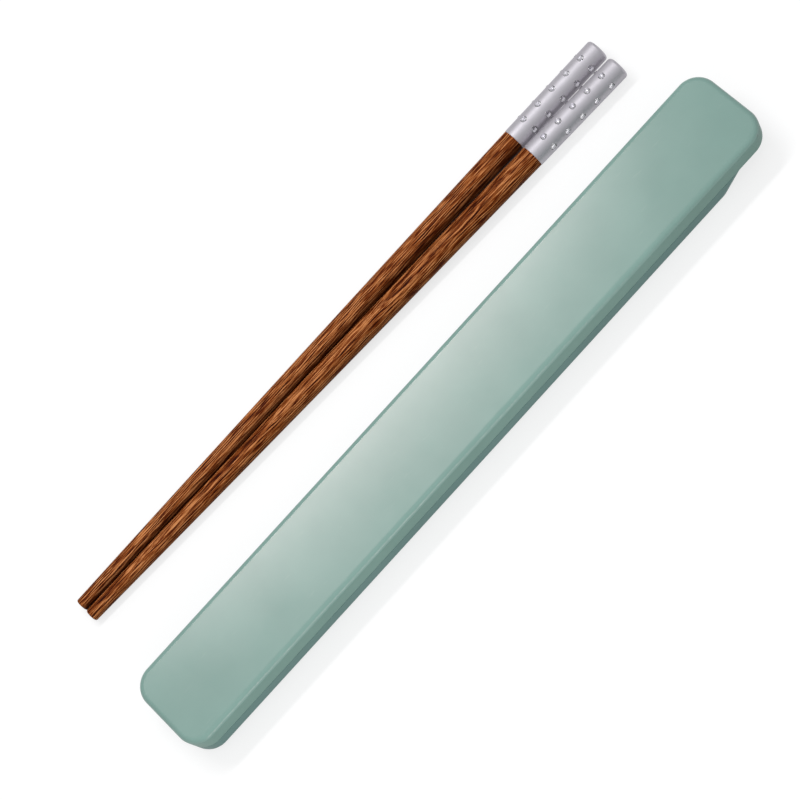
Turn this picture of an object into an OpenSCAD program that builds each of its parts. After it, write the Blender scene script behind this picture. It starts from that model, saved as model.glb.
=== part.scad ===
// Slim two-part travel case for a pair of chopsticks, with the pair lying beside it.
// Millimetres, +Z up. The origin is the middle of the case's underside.
// +X points to the end of the case that is cut back, and the pair lies on the +Y side.

/* [Chopsticks] */
// Length of a chopstick, from its tip to the end of its cap
stick_length = 235; // [200:1:260]
// Diameter of the wood at the tip
tip_d = 4.4; // [3:0.1:6]
// How far the taper swells past a straight line, half way along the wood
taper_swell = 0.2; // [0:0.02:0.4]
// Rounding of the edge at the tip
tip_round = 0.6; // [0.2:0.1:1.2]

/* [Caps] */
// Length of a cap
cap_length = 38.3; // [34:0.1:48]
// Diameter of a cap
cap_d = 7.8; // [7:0.1:10]
// How far a cap stands proud of the wood
cap_step = 0.1; // [0.05:0.05:0.5]
// Wall of a cap round its bore
cap_wall = 1.35; // [1:0.05:2]
// Thickness of a cap's closed end
cap_end_wall = 2.5; // [1.5:0.1:5]
// Rounding of the edge at a cap's end
cap_round = 1; // [0.3:0.1:2]
// Gap for glue round the tenon, and past its end
tenon_fit = 0.05; // [0.02:0.01:0.15]

/* [Crystals] */
// Diameter of a crystal
crystal_d = 2.1; // [1.4:0.1:2.6]
// Height of a crystal's crown above the edge of its seat
crystal_crown = 0.3; // [0.2:0.05:0.5]
// Diameter of the flat table on top of a crystal
crystal_table_d = 0.9; // [0.6:0.1:1.3]
// Depth of a crystal's seat in the cap
crystal_seat = 0.7; // [0.4:0.05:0.9]
// Gap round a crystal in its seat
crystal_fit = 0.05; // [0.02:0.01:0.1]
// Distance between the crystals of a row
crystal_pitch = 6.4; // [4:0.1:7]
// Crystals in a row
crystals_per_row = 5; // [2:1:5]
// Roll of the far chopstick about its own axis, in degrees
roll_far = -11; // [-36:1:36]
// Roll of the near chopstick about its own axis, in degrees
roll_near = -4; // [-36:1:36]

/* [Case] */
// Length of the case past that of the chopsticks it holds
end_room = 16.7; // [14:0.1:24]
// Width inside the case past that of the two caps
side_room = 10.5; // [6:0.1:16]
// Height inside the case past that of a cap
head_room = 4.5; // [3.5:0.1:8]
// Radius of the case's corners, seen from above
corner_r = 7.3; // [5:0.1:10]

/* [Lid] */
// Depth of the lid, from its top to the shoulder of the tray
lid_depth = 8.1; // [6.5:0.1:9]
// Thickness of the lid's top
lid_roof = 1.4; // [1:0.1:1.8]
// Thickness of the lid's skirt
lid_wall = 1; // [0.8:0.05:1.4]
// Rounding of the lid's top edge
lid_round = 1.9; // [0.6:0.1:2.2]
// Gap between the lid's skirt and the tray's rim
lid_fit = 0.15; // [0.1:0.05:0.3]
// Gap under the lid's skirt and over the tray's rim
lid_seat_gap = 0.15; // [0.1:0.05:0.3]
// Thickness of the lid's cross rib that meets the end of the rim
lid_rib = 1; // [0.8:0.1:1.6]

/* [Tray] */
// Thickness of the tray's floor
tray_floor = 1.5; // [1:0.1:2.5]
// Thickness of the rim that stands up inside the lid
rim_wall = 0.85; // [0.7:0.05:1.4]
// Rounding of the tray's bottom edge
tray_round = 2.5; // [0.8:0.1:4]
// Rounding inside the tray, between its floor and its walls
inner_round = 1.2; // [0.4:0.1:3]
// How far the lid reaches past the tray at the cut-back end
overhang = 4.8; // [3.5:0.1:7]
// Slope of the cut-back end, from level, in degrees
end_slope = 35; // [30:1:50]
// Thickness of a cradle rib
cradle_rib = 1.6; // [1:0.1:3]
// Distance of the outer cradle ribs from the ends of the chopsticks
cradle_inset = 28; // [20:1:34]
// Height of the caps above the tray's floor
cradle_lift = 0.9; // [0.3:0.1:1.2]
// Gap round a chopstick in its cradle
cradle_fit = 0.4; // [0.1:0.05:0.6]
// Play at the end of the chopsticks in the tray
end_play = 0.3; // [0.1:0.05:0.6]

/* [Layout] */
// Distance from the side of the case to the middle of the pair
pair_distance = 30.2; // [18:0.1:60]
// Shift of the pair along the case, from its middle
pair_shift = -3.8; // [-20:0.1:20]
// Turn of the pair from the case, in degrees
pair_turn = -1.25; // [-8:0.01:8]
// Gap between the two tips
pair_gap = 0.3; // [0.3:0.05:2]
// Angle between the two chopsticks, which spread towards their caps, in degrees
pair_spread = 1.06; // [1.06:0.02:4]

/* [Hidden] */
$fn = 64;
FAR = 1;
NEAR = -1;
CRYSTAL_ROWS = [1, 2, 3, 4, 5];
sage = [0.56, 0.69, 0.65];
wood = [0.36, 0.17, 0.08];
satin_metal = [0.76, 0.76, 0.8];
clear_stone = [0.9, 0.92, 0.96];
crystal_facets = 8;
taper_steps = 14;
tip_arc_steps = 5;
cradle_count = 3;
// Extra length that a cutting shape reaches past what it cuts
cut_over = 1;

// Chopsticks
tip_r = tip_d / 2;
cap_r = cap_d / 2;
butt_r = cap_r - cap_step;
wood_length = stick_length - cap_length;
bore_r = cap_r - cap_wall;
bore_depth = cap_length - cap_end_wall;
tenon_r = bore_r - tenon_fit;
tenon_length = bore_depth - tenon_fit;
// The cap's round surface falls away by this much at the edge of a crystal
crystal_sag = cap_r - sqrt(pow(cap_r, 2) - pow(crystal_d / 2, 2));
crystal_girdle = crystal_seat - crystal_sag;

// Radius of the wood at a distance from the tip
function wood_r(s) =
    let (u = s / wood_length)
    tip_r + (butt_r - tip_r) * u + 4 * taper_swell * u * (1 - u);
// Radius of the whole chopstick at a distance from the tip
function stick_r(s) = s < wood_length ? wood_r(s) : cap_r;
// Distances from the tip at which the taper is drawn
function taper_station(i) = tip_round + (wood_length - tip_round) * i / taper_steps;

// A chopstick lies on the edge of its cap and on its swell, so its axis rises by this angle
lie = atan(min([for (i = [0 : taper_steps - 1])
    (cap_r - wood_r(taper_station(i))) / (wood_length - taper_station(i))]));
tip_height = cap_r * cos(lie) - wood_length * sin(lie);

// Case
rim_inset = lid_wall + lid_fit;
tray_wall = rim_inset + rim_wall;
case_length = stick_length + end_room;
case_width = 2 * cap_d + side_room + 2 * tray_wall;
case_height = tray_floor + cap_d + head_room + lid_roof;
shoulder_z = case_height - lid_depth;
lid_bottom = shoulder_z + lid_seat_gap;
roof_z = case_height - lid_roof;
rim_top = roof_z - lid_seat_gap;
tray_end = case_length / 2 - overhang;
slope_foot = tray_end - shoulder_z / tan(end_slope);
rim_start = -case_length / 2 + rim_inset;
rim_end = tray_end - rim_inset;
cavity_start = rim_start + rim_wall;
cavity_end = rim_end - rim_wall;

// Stowed chopsticks: the caps lie low at the square end, and the tips ride up the sloping end
stow_start = cavity_start + end_play;
stow_tip = stow_start + stick_length;
stow_y = cap_r + side_room / 6;
stow_cap_z = tray_floor + cradle_lift + cap_r;
slope_z_at_tip = (stow_tip + end_play - slope_foot) * tan(end_slope) + tray_wall / cos(end_slope);
stow_tip_z = tip_r + max(slope_z_at_tip, tray_floor + cradle_lift);
function stow_z(x) = stow_cap_z + (stow_tip_z - stow_cap_z) * (x - stow_start) / stick_length;
function cradle_x(i) =
    let (first = stow_start + cradle_inset, last = stow_tip - cradle_inset)
    first + (last - first) * i / (cradle_count - 1);

// Wooden part of a chopstick, standing on its tip
module shaft_shape() {
    arc_r = wood_r(tip_round) - tip_round;
    tip_arc = [for (i = [0 : tip_arc_steps])
        let (a = 90 * i / tip_arc_steps)
        [arc_r + tip_round * sin(a), tip_round - tip_round * cos(a)]];
    taper = [for (i = [1 : taper_steps]) [wood_r(taper_station(i)), taper_station(i)]];
    tenon = [
        [tenon_r, wood_length],
        [tenon_r, wood_length + tenon_length],
        [0, wood_length + tenon_length]
    ];
    rotate_extrude() polygon(concat([[0, 0]], tip_arc, taper, tenon));
}

// Metal cap of a chopstick that stands on its tip, before the crystals' seats are cut
module cap_blank() {
    translate([0, 0, wood_length])
        rotate_extrude()
            difference() {
                union() {
                    square([cap_r, cap_length - cap_round]);
                    square([cap_r - cap_round, cap_length]);
                    translate([cap_r - cap_round, cap_length - cap_round]) circle(cap_round);
                }
                square([bore_r, bore_depth]);
            }
}

// Puts its children on one row of seats: they stand on the seat's floor and point outwards
module on_row(roll, row) {
    first = wood_length + (cap_length - crystal_pitch * (crystals_per_row - 1)) / 2;
    rotate([0, 0, 180 + roll + 360 * (row - 1) / len(CRYSTAL_ROWS)])
        for (i = [0 : crystals_per_row - 1])
            translate([cap_r - crystal_seat, 0, first + crystal_pitch * i])
                rotate([0, 90, 0]) children();
}

// One cut stone with a straight girdle and a sloping crown
module crystal() {
    crown_top = crystal_girdle + crystal_crown;
    rotate_extrude($fn = crystal_facets)
        polygon([
            [0, 0],
            [crystal_d / 2, 0],
            [crystal_d / 2, crystal_girdle],
            [crystal_table_d / 2, crown_top],
            [0, crown_top]
        ]);
}

// Lays a chopstick that stands on its tip down beside the case, on one side of the pair's middle
module lay_down(side) {
    translate([pair_shift, case_width / 2 + pair_distance, 0])
        rotate([0, 0, pair_turn])
            translate([-stick_length / 2, side * (tip_r + pair_gap / 2), tip_height])
                rotate([0, 90 - lie, side * pair_spread / 2]) children();
}

module shaft(side) {
    color(wood) lay_down(side) shaft_shape();
}

module cap(side, roll) {
    color(satin_metal)
        lay_down(side)
            difference() {
                cap_blank();
                for (row = CRYSTAL_ROWS)
                    on_row(roll, row)
                        cylinder(r = crystal_d / 2 + crystal_fit, h = crystal_seat + cut_over);
            }
}

module crystal_row(side, roll, row) {
    color(clear_stone) lay_down(side) on_row(roll, row) crystal();
}

// Turns a wall section, whose x is the depth in from the outside, to face away from a corner's axis
module face_out(radius) {
    intersection() {
        translate([radius, 0]) mirror([1, 0]) children();
        translate([0, -case_height]) square([radius, 3 * case_height]);
    }
}

// Carries a wall section round a rounded plan
module round_the_plan(length, width, radius) {
    runs = [length - 2 * radius, width - 2 * radius];
    for (side = [0 : 3]) {
        out = runs[side % 2] / 2;
        along = runs[(side + 1) % 2];
        rotate([0, 0, 90 * side])
            translate([out, along / 2, 0]) {
                rotate_extrude(angle = 90) face_out(radius) children();
                rotate([90, 0, 0]) linear_extrude(along) face_out(radius) children();
            }
    }
}

// Block with a rounded plan whose bottom edge is rounded
module bowl_block(start, end, width, radius, bottom, top, edge) {
    length = end - start;
    translate([(start + end) / 2, 0, 0]) {
        round_the_plan(length, width, radius) {
            translate([edge, bottom]) square([radius - edge, top - bottom]);
            translate([0, bottom + edge]) square([radius, top - bottom - edge]);
            translate([edge, bottom + edge]) circle(edge);
        }
        translate([radius - length / 2, radius - width / 2, bottom])
            cube([length - 2 * radius, width - 2 * radius, top - bottom]);
    }
}

// Upright block with a rounded plan
module plan_block(start, end, width, radius, bottom, top) {
    translate([(start + end) / 2, 0, bottom])
        linear_extrude(top - bottom) {
            square([end - start - 2 * radius, width], center = true);
            square([end - start, width - 2 * radius], center = true);
            for (x = [-1, 1], y = [-1, 1])
                translate([x * ((end - start) / 2 - radius), y * (width / 2 - radius)])
                    circle(radius);
        }
}

// Everything inside the cut-back end, whose walls are moved in by inset
module inside_slope(inset) {
    reach = 2 * case_length;
    half = case_width / 2 - inset;
    translate([slope_foot, 0, 0])
        rotate([0, 90 - end_slope, 0])
            translate([-inset, 0, -reach])
                linear_extrude(2 * reach) {
                    translate([-reach, -half]) square([reach - corner_r, 2 * half]);
                    translate([-reach, corner_r - half]) square([reach, 2 * (half - corner_r)]);
                    for (y = [-1, 1])
                        translate([-corner_r, y * (half - corner_r)]) circle(corner_r);
                }
}

// Cross rib with a half-round cradle for each chopstick
module cradle(x) {
    axis_z = stow_z(x);
    seat_r = stick_r(stow_tip - x) + cradle_fit;
    rib_w = case_width - tray_wall;
    translate([x - cradle_rib / 2, 0, 0])
        rotate([90, 0, 90])
            linear_extrude(cradle_rib)
                difference() {
                    translate([-rib_w / 2, tray_floor / 2]) square([rib_w, axis_z - tray_floor / 2]);
                    for (y = [-1, 1]) translate([y * stow_y, axis_z]) circle(seat_r);
                }
}

module tray() {
    color(sage) {
        difference() {
            union() {
                intersection() {
                    bowl_block(-case_length / 2, case_length / 2, case_width, corner_r,
                        0, shoulder_z, tray_round);
                    inside_slope(0);
                }
                plan_block(rim_start, rim_end, case_width - 2 * rim_inset, corner_r - rim_inset,
                    shoulder_z, rim_top);
            }
            intersection() {
                bowl_block(cavity_start, cavity_end, case_width - 2 * tray_wall,
                    corner_r - tray_wall, tray_floor, rim_top + cut_over, inner_round);
                inside_slope(tray_wall);
            }
        }
        for (i = [0 : cradle_count - 1]) cradle(cradle_x(i));
    }
}

module lid() {
    color(sage) {
        round_the_plan(case_length, case_width, corner_r)
            difference() {
                union() {
                    translate([0, lid_bottom])
                        square([corner_r, case_height - lid_round - lid_bottom]);
                    translate([lid_round, lid_bottom])
                        square([corner_r - lid_round, case_height - lid_bottom]);
                    translate([lid_round, case_height - lid_round]) circle(lid_round);
                }
                translate([lid_wall, lid_bottom - cut_over])
                    square([corner_r, roof_z - lid_bottom + cut_over]);
                translate([-cut_over, lid_bottom - lid_round])
                    square([corner_r + 2 * cut_over, lid_round]);
            }
        translate([corner_r - case_length / 2, corner_r - case_width / 2, roof_z])
            cube([case_length - 2 * corner_r, case_width - 2 * corner_r, lid_roof]);
        intersection() {
            translate([rim_end + lid_fit, -case_width / 2, lid_bottom])
                cube([lid_rib, case_width, roof_z + lid_roof / 2 - lid_bottom]);
            plan_block(-case_length / 2 + lid_wall / 2, case_length / 2 - lid_wall / 2,
                case_width - lid_wall, corner_r - lid_wall / 2, lid_bottom, case_height);
        }
    }
}

tray();
lid();
shaft(FAR);  // far_shaft
cap(FAR, roll_far);  // far_cap
shaft(NEAR);  // near_shaft
cap(NEAR, roll_near);  // near_cap
for (row = CRYSTAL_ROWS) {
    crystal_row(FAR, roll_far, row);
    crystal_row(NEAR, roll_near, row);
}
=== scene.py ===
"""Dressed scene of a slim travel case for chopsticks, with the pair that it carries lying beside it.

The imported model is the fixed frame. Every piece here is built in metres in that frame, stands for a
node of it and rides on the body that the node belongs to.
"""

import logging
import math
from collections.abc import Callable, Iterable
from dataclasses import dataclass, field
from enum import Enum

import bmesh
import bpy
from bmesh.types import BMEdge, BMesh, BMFace, BMVert
from bpy.types import Material, Node, NodeSocket, NodeTree, Object
from mathutils import Matrix, Vector


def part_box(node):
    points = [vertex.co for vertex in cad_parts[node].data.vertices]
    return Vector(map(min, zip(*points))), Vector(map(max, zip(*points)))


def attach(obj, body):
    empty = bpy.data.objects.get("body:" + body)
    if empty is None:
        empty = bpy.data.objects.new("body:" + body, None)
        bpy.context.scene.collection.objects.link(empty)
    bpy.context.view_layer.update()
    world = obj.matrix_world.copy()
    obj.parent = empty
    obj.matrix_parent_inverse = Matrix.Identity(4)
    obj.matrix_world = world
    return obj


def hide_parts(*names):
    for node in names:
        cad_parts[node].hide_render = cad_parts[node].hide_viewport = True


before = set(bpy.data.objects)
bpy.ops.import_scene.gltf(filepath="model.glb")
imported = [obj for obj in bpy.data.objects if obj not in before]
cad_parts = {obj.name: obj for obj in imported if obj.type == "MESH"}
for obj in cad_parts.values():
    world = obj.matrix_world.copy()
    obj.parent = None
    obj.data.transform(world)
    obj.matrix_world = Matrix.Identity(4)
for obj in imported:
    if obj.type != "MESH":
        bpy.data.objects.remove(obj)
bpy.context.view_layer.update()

log = logging.getLogger("chopstick_case")

Pair = tuple[float, float]
Triple = tuple[float, float, float]

MM = 0.001
# Two coordinates closer than this are taken as one
NEAR_ENOUGH = 1e-3 * MM
# Corners closer than this are welded
WELD = NEAR_ENOUGH / 10
# The bevel profile that gives a quarter arc
ROUND_PROFILE = 0.5
# The range in which most values of a noise lie
NOISE_RANGE = (0.3, 0.7)


class Side(Enum):
    """Which of the two chopsticks, seen from the case."""

    FAR = 1
    NEAR = -1

    @property
    def word(self) -> str:
        """Gives the word that names of this chopstick's pieces start with."""
        return self.name.lower()


class Shading(Enum):
    """How a piece's faces meet: the angle in degrees past which an edge stays crisp."""

    FACETED = 0
    MOULDED = 32
    TURNED = 40


class Coat(Enum):
    """Which of a moulding's two materials a face has: copies of one plastic, the darker one painted shade."""

    FIRST = 0
    SECOND = 1


# Mesh helpers


def level_edges(bm: BMesh, height: float) -> list[BMEdge]:
    """Finds the edges that lie at one height."""
    return [e for e in bm.edges if all(abs(v.co.z - height) < NEAR_ENOUGH for v in e.verts)]


def level_faces(bm: BMesh, height: float) -> list[BMFace]:
    """Finds the faces that lie at one height."""
    return [f for f in bm.faces if all(abs(v.co.z - height) < NEAR_ENOUGH for v in f.verts)]


def upright_edges(bm: BMesh) -> list[BMEdge]:
    """Finds the edges that stand upright."""
    return [e for e in bm.edges if (e.verts[1].co - e.verts[0].co).xy.length < NEAR_ENOUGH]


def drop_level(bm: BMesh, height: float) -> None:
    """Opens a mesh by deleting its faces at one height."""
    bmesh.ops.delete(bm, geom=level_faces(bm, height), context="FACES_ONLY")


def close_level(bm: BMesh, height: float) -> None:
    """Closes the ring between two open loops at one height."""
    edges = [e for e in level_edges(bm, height) if e.is_boundary]
    bmesh.ops.triangle_fill(bm, edges=edges, normal=(0, 0, 1), use_beauty=True, use_dissolve=False)


def paint(faces: Iterable[BMFace], coat: Coat) -> None:
    """Gives faces one of their moulding's two materials, of which the darker is painted shade."""
    for face in faces:
        face.material_index = coat.value


def bevel(bm: BMesh, edges: list[BMEdge], width: float, segments: int) -> None:
    """Rounds edges with a true quarter arc.

    Args:
        bm: The mesh that holds the edges.
        edges: The edges to round.
        width: Distance from the old edge to where the round starts.
        segments: Faces across the round.
    """
    bmesh.ops.bevel(
        bm, geom=edges, offset=width, offset_type="OFFSET", affect="EDGES", segments=segments,
        profile=ROUND_PROFILE, material=-1, loop_slide=True,
    )


def plan_block(low: Vector, high: Vector, radius: float, steps: int) -> BMesh:
    """Models a box with round upright edges.

    Args:
        low: Lowest corner.
        high: Highest corner.
        radius: Radius of the upright edges.
        steps: Faces across each round.

    Returns:
        The mesh.
    """
    bm = bmesh.new()
    made = bmesh.ops.create_cube(bm, size=1.0)["verts"]
    bmesh.ops.scale(bm, vec=high - low, verts=made)
    bmesh.ops.translate(bm, vec=(low + high) / 2, verts=made)
    bevel(bm, upright_edges(bm), radius, steps)
    return bm


def push(bm: BMesh, face: BMFace, place: Callable[[Vector], Vector], keep: bool = False) -> BMFace:
    """Extrudes one face and puts each new corner where a rule says.

    Args:
        bm: The mesh that holds the face.
        face: The face to push.
        place: Gives a new corner's place from its old one.
        keep: Leaves the face where it was as well, as the end of a solid.

    Returns:
        The pushed face.
    """
    made = bmesh.ops.extrude_face_region(bm, geom=[face])["geom"]
    for part in made:
        if isinstance(part, BMVert):
            part.co = place(part.co)
    if not keep:
        bmesh.ops.delete(bm, geom=[face], context="FACES_ONLY")
    return next(part for part in made if isinstance(part, BMFace))


def turn_profile(bm: BMesh, points: list[Pair], steps: int) -> None:
    """Turns a profile round the Z axis, as on a lathe.

    Args:
        bm: An empty mesh that gains the turned shape.
        points: Radius and height of each point of the profile.
        steps: Steps of the full turn.
    """
    verts = [bm.verts.new((radius, 0.0, height)) for radius, height in points]
    edges = [bm.edges.new(pair) for pair in zip(verts, verts[1:])]
    bmesh.ops.spin(
        bm, geom=verts + edges, cent=(0, 0, 0), axis=(0, 0, 1), angle=2 * math.pi, steps=steps, use_merge=True
    )
    bmesh.ops.remove_doubles(bm, verts=bm.verts, dist=NEAR_ENOUGH)
    bmesh.ops.recalc_face_normals(bm, faces=bm.faces)


def quarter_arc(centre: Pair, radius: float, start: float, steps: int) -> list[Pair]:
    """Works out the points of a quarter circle, counter-clockwise from a start angle in degrees."""
    turns = [math.radians(start + 90 * i / steps) for i in range(steps + 1)]
    return [(centre[0] + radius * math.cos(a), centre[1] + radius * math.sin(a)) for a in turns]


def join(bm: BMesh, other: BMesh) -> None:
    """Adds another mesh to a mesh and frees the other.

    Args:
        bm: The mesh that grows.
        other: The mesh that is used up.
    """
    carrier = bpy.data.meshes.new("carrier")
    other.to_mesh(carrier)
    other.free()
    bm.from_mesh(carrier)
    bpy.data.meshes.remove(carrier)


def make_piece(bm: BMesh, name: str, shading: Shading) -> Object:
    """Turns a finished mesh into an object at the origin.

    Args:
        bm: The mesh, which is freed.
        name: The piece's name.
        shading: How its faces meet.

    Returns:
        The object, linked to the scene.
    """
    mesh = bpy.data.meshes.new(name)
    bm.to_mesh(mesh)
    bm.free()
    piece = bpy.data.objects.new(name, mesh)
    bpy.context.scene.collection.objects.link(piece)
    if shading is not Shading.FACETED:
        mesh.shade_smooth()
        mesh.set_sharp_from_angle(angle=math.radians(shading.value))
        even = piece.modifiers.new("even_normals", "WEIGHTED_NORMAL")
        even.keep_sharp = True
    return piece


def seat_piece(piece: Object, materials: list[Material], body: str, node: str) -> None:
    """Dresses a piece and ties it to the frame.

    Args:
        piece: The finished object.
        materials: Its finish, or its two finishes.
        body: The body that it rides on.
        node: The node that it stands for.
    """
    for material in materials:
        piece.data.materials.append(material)
    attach(piece, body)
    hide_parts(node)
    log.info("%s rides on %s with %d faces", piece.name, body, len(piece.data.polygons))


# Shader helpers


class Graph:
    """A node tree with short calls that add and link its nodes."""

    def __init__(self, tree: NodeTree) -> None:
        """Takes a tree and empties it."""
        self.tree = tree
        tree.nodes.clear()

    def add(self, kind: str, settings: dict[str, object] | None = None, **links: object) -> Node:
        """Adds a node, sets it and fills its inputs.

        Args:
            kind: The node's type name, without its family.
            settings: Values of the node's own properties.
            **links: For each input, with _ for a space, a socket to link or a value to set. A colour
                has three parts. An input that shares its name with others is given as in_ and its index.

        Returns:
            The node.
        """
        family = "" if kind.startswith("Node") else "ShaderNode"
        node = self.tree.nodes.new(family + kind)
        for key, value in (settings or {}).items():
            setattr(node, key, value)
        for key, value in links.items():
            socket = node.inputs[int(key[3:]) if key.startswith("in_") else key.replace("_", " ")]
            if isinstance(value, NodeSocket):
                self.tree.links.new(value, socket)
            else:
                socket.default_value = (*value, 1.0) if socket.type == "RGBA" else value
        return node

    def math(self, operation: str, first: object, second: object = 0.0) -> NodeSocket:
        """Adds a sum of two sockets or numbers."""
        return self.add("Math", {"operation": operation}, in_0=first, in_1=second).outputs[0]

    def weigh(self, *terms: tuple[NodeSocket, float]) -> NodeSocket:
        """Adds up values, each times its weight.

        Args:
            *terms: Each value's socket and its weight.

        Returns:
            The total's socket.
        """
        total = 0.0
        for value, weight in terms:
            node = self.add("Math", {"operation": "MULTIPLY_ADD"}, in_0=value, in_1=weight, in_2=total)
            total = node.outputs[0]
        return total

    def span(self, value: object, start: Pair, end: Pair = (0.0, 1.0)) -> NodeSocket:
        """Maps a value from one range to another, and keeps it there."""
        node = self.add("MapRange", in_0=value, in_1=start[0], in_2=start[1], in_3=end[0], in_4=end[1])
        return node.outputs[0]

    def blend(self, factor: object, first: object, second: object) -> NodeSocket:
        """Adds a mix of two colours, with the first of them at a factor of 0."""
        return self.add("Mix", {"data_type": "RGBA"}, in_0=factor, in_6=first, in_7=second).outputs[2]

    def noise(self, vector: object, scale: object, detail: float, roughness: float = 0.5) -> NodeSocket:
        """Adds a noise with a number of features per metre and a number of finer octaves."""
        node = self.add("TexNoise", Vector=vector, Scale=scale, Detail=detail, Roughness=roughness)
        return node.outputs["Fac"]

    def streaks(self, vector: object, scales: Triple, detail: float) -> NodeSocket:
        """Adds a noise with its own number of features per metre along each axis."""
        return self.noise(self.stretch(vector, scales), 1.0, detail)

    def stretch(self, vector: object, scales: Triple) -> NodeSocket:
        """Scales coordinates by axis."""
        return self.add("VectorMath", {"operation": "MULTIPLY"}, in_0=vector, in_1=scales).outputs[0]

    def attribute(self, name: str, output: str) -> NodeSocket:
        """Reads one of the piece's own attributes."""
        return self.add("Attribute", {"attribute_name": name}).outputs[output]

    def ramp(self, value: object, stops: Iterable[tuple[float, Triple]]) -> NodeSocket:
        """Adds a colour ramp.

        Args:
            value: Socket that picks the colour.
            stops: Place and linear colour of each stop.

        Returns:
            The colour's socket.
        """
        node = self.add("ValToRGB", Fac=value)
        stops = list(stops)
        elements = node.color_ramp.elements
        while len(elements) < len(stops):
            elements.new(1.0)
        for element, (place, colour) in zip(elements, stops):
            element.position = place
            element.color = (*colour, 1.0)
        return node.outputs["Color"]

    def bump(self, height: NodeSocket, strength: float, depth: float) -> NodeSocket:
        """Turns a height into a normal, with the full relief as deep as given."""
        return self.add("Bump", Strength=strength, Distance=depth, Height=height).outputs["Normal"]

    def surface(self, **inputs: object) -> None:
        """Adds the shader that the material ends in."""
        shader = self.add("BsdfPrincipled", **inputs)
        self.add("OutputMaterial", Surface=shader.outputs[0])


def srgb(red: int, green: int, blue: int) -> Triple:
    """Turns a display colour, each part 0 to 255, into a linear one."""
    parts = [c / 255 for c in (red, green, blue)]
    return tuple(c / 12.92 if c <= 0.04045 else ((c + 0.055) / 1.055) ** 2.4 for c in parts)


def scaled(colour: Triple, factor: float, lift: float = 0.0) -> Triple:
    """Makes a colour darker or paler by a factor and an even lift."""
    return tuple(c * factor + lift for c in colour)


def new_group(name: str, scales: dict[str, float], outputs: Iterable[str]) -> tuple[Graph, Node, Node]:
    """Starts a shader node group that turns coordinates into values.

    Args:
        name: The group's name.
        scales: Name and default of each number that it takes besides the coordinates.
        outputs: Names of the values that it gives.

    Returns:
        The group's graph, its input node and its output node.
    """
    tree = bpy.data.node_groups.new(name, "ShaderNodeTree")
    tree.interface.new_socket("Vector", in_out="INPUT", socket_type="NodeSocketVector")
    for label, default in scales.items():
        socket = tree.interface.new_socket(label, in_out="INPUT", socket_type="NodeSocketFloat")
        socket.default_value = default
    for label in outputs:
        tree.interface.new_socket(label, in_out="OUTPUT", socket_type="NodeSocketFloat")
    graph = Graph(tree)
    return graph, graph.add("NodeGroupInput"), graph.add("NodeGroupOutput")


def make_fine_skin() -> NodeTree:
    """Builds the effect that moulded and blasted surfaces share: a fine tooth and slow waves under it.

    Returns:
        The group, with a Tooth, a Cloud and a Height output.
    """
    scales = {"Tooth Scale": 4000.0, "Cloud Scale": 60.0}
    graph, given, result = new_group("fine_skin", scales, ("Tooth", "Cloud", "Height"))
    place = given.outputs["Vector"]
    tooth = graph.noise(place, given.outputs["Tooth Scale"], detail=2.0, roughness=0.6)
    cloud = graph.noise(place, given.outputs["Cloud Scale"], detail=3.0, roughness=0.55)
    height = graph.weigh((tooth, 0.35), (cloud, 0.65))
    for label, socket in (("Tooth", tooth), ("Cloud", cloud), ("Height", height)):
        graph.tree.links.new(socket, result.inputs[label])
    return graph.tree


def make_handling() -> NodeTree:
    """Builds the effect of handling that plastic and metal share: soft smudges and a few fine scuffs.

    Returns:
        The group, with a Smudge and a Scuff output from 0 to 1.
    """
    scales = {"Smudge Scale": 90.0, "Scuff Scale": 700.0}
    graph, given, result = new_group("handling", scales, ("Smudge", "Scuff"))
    place = given.outputs["Vector"]
    cloud = graph.noise(place, given.outputs["Smudge Scale"], detail=4.0, roughness=0.6)
    # Scuffs are long along X, the way the case and the chopsticks lie
    drawn_out = graph.stretch(place, (0.12, 1.0, 1.0))
    streak = graph.noise(drawn_out, given.outputs["Scuff Scale"], detail=2.0, roughness=0.7)
    graph.tree.links.new(graph.span(cloud, (0.42, 0.72)), result.inputs["Smudge"])
    graph.tree.links.new(graph.span(streak, (0.68, 0.8)), result.inputs["Scuff"])
    return graph.tree


@dataclass(frozen=True)
class SkinScales:
    """Features per metre of a skin's tooth, clouds, smudges and scuffs."""

    tooth: float
    cloud: float
    smudge: float
    scuff: float


@dataclass(frozen=True)
class SharedEffects:
    """The node groups that several finishes use."""

    fine_skin: NodeTree = field(default_factory=make_fine_skin)
    handling: NodeTree = field(default_factory=make_handling)

    def add_to(self, graph: Graph, scales: SkinScales) -> dict[str, NodeSocket]:
        """Adds both effects to a material.

        Args:
            graph: The material's graph.
            scales: Features per metre.

        Returns:
            The effects' values by their names.
        """
        place = graph.add("TexCoord").outputs["Object"]
        skin = graph.add(
            "Group", {"node_tree": self.fine_skin},
            Vector=place, Tooth_Scale=scales.tooth, Cloud_Scale=scales.cloud,
        )
        touch = graph.add(
            "Group", {"node_tree": self.handling},
            Vector=place, Smudge_Scale=scales.smudge, Scuff_Scale=scales.scuff,
        )
        return {socket.name: socket for node in (skin, touch) for socket in node.outputs}


def new_material(name: str) -> tuple[Material, Graph]:
    """Starts a material with an empty node tree.

    Args:
        name: The material's name.

    Returns:
        The material and its graph.
    """
    material = bpy.data.materials.new(name)
    material.use_nodes = True
    return material, Graph(material.node_tree)


# Finishes


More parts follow.
